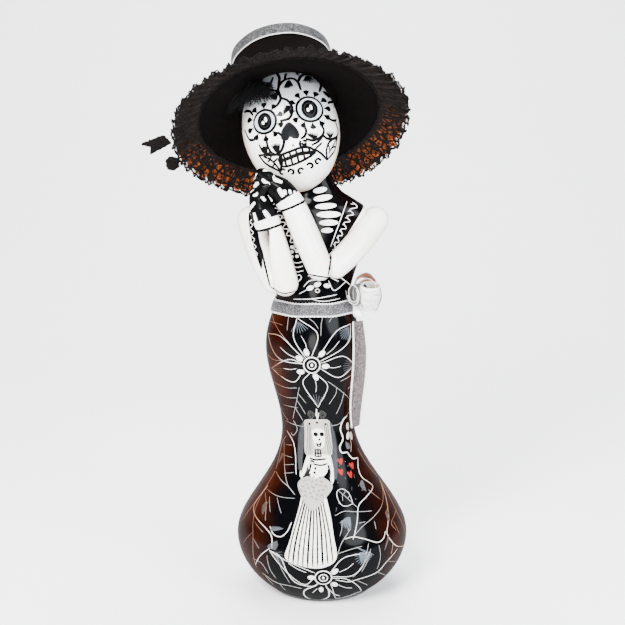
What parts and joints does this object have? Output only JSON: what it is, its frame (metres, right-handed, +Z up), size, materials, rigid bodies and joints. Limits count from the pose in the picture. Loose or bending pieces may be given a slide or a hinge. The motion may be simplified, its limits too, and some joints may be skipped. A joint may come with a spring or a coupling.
{
  "type": "papier-mache skeleton lady figure",
  "caption": "Standing papier-mache skeleton lady in a long flared painted dress, with a lift-off wide-brimmed hat edged in lace and a ribbon tied in a bow at the waist.",
  "frame": {"origin": "centre of the flat foot, on the surface that the figure stands on", "axes": "+Z up, the figure faces -Y, +X is the right of someone who looks at its face"},
  "size_m": [0.1838, 0.1308, 0.3989],
  "materials": {
    "black_lacquer": "gloss black paint over paper pulp, umber towards the sides, with white brush lines under clear varnish",
    "white_lacquer": "gloss white paint over paper pulp, with black brush lines under clear varnish",
    "silver_ribbon": "sheer woven ribbon with a metallic thread",
    "rust_ribbon": "sheer rust-orange fabric",
    "black_lace": "gathered black net lace",
    "black_felt": "matt black felt with a fine nap",
    "black_fibre": "loose black yarn",
    "base_felt": "matt dark felt",
    "pine": "bare sanded wood",
    "card": "bare grey card",
    "plaster": "matt cast plaster",
    "steel_wire": "drawn annealed wire"
  },
  "bodies": {
    "figure": {"base_pad": "base_felt", "base_disc": "pine", "ballast": "plaster", "spine_post": "pine", "skirt_flare_shell": "black_lacquer", "skirt_hip_shell": "black_lacquer", "waist_plate": "card", "bodice_shell": "black_lacquer", "arm_wire_left": "steel_wire", "arm_wire_right": "steel_wire", "upper_arm_left": "white_lacquer", "upper_arm_right": "white_lacquer", "forearm_left": "white_lacquer", "forearm_right": "white_lacquer", "hand_left": "black_lacquer", "hand_right": "black_lacquer", "neck": "black_lacquer", "face_shell": "white_lacquer", "skull_back_shell": "white_lacquer", "forelock": "black_fibre", "waist_sash": "silver_ribbon", "bow_knot": "rust_ribbon", "bow_loop_front": "silver_ribbon", "bow_loop_side": "silver_ribbon", "bow_loop_top": "silver_ribbon"},
    "tail": {"ribbon_tail": "silver_ribbon"},
    "hat": {"hat_brim": "black_felt", "hat_crown": "black_felt", "hat_pad": "black_felt", "brim_wire": "steel_wire", "hat_band": "silver_ribbon", "lace_ruffle": "black_lace", "lace_lining": "rust_ribbon", "lace_puff": "black_lace", "lace_end": "black_lace"}
  },
  "joints": [
    {"name": "hat_lift", "type": "slide", "parent": "figure", "child": "hat", "axis": [-0.1198, 0.6428, 0.7566], "range_m": [0, 0.075]},
    {"name": "tail_swing", "type": "hinge", "parent": "figure", "child": "tail", "pos_m": [0.0246, -0.01423, 0.197], "axis": [-0.8486, -0.5291, 0], "range_deg": [0, 40]}
  ]
}
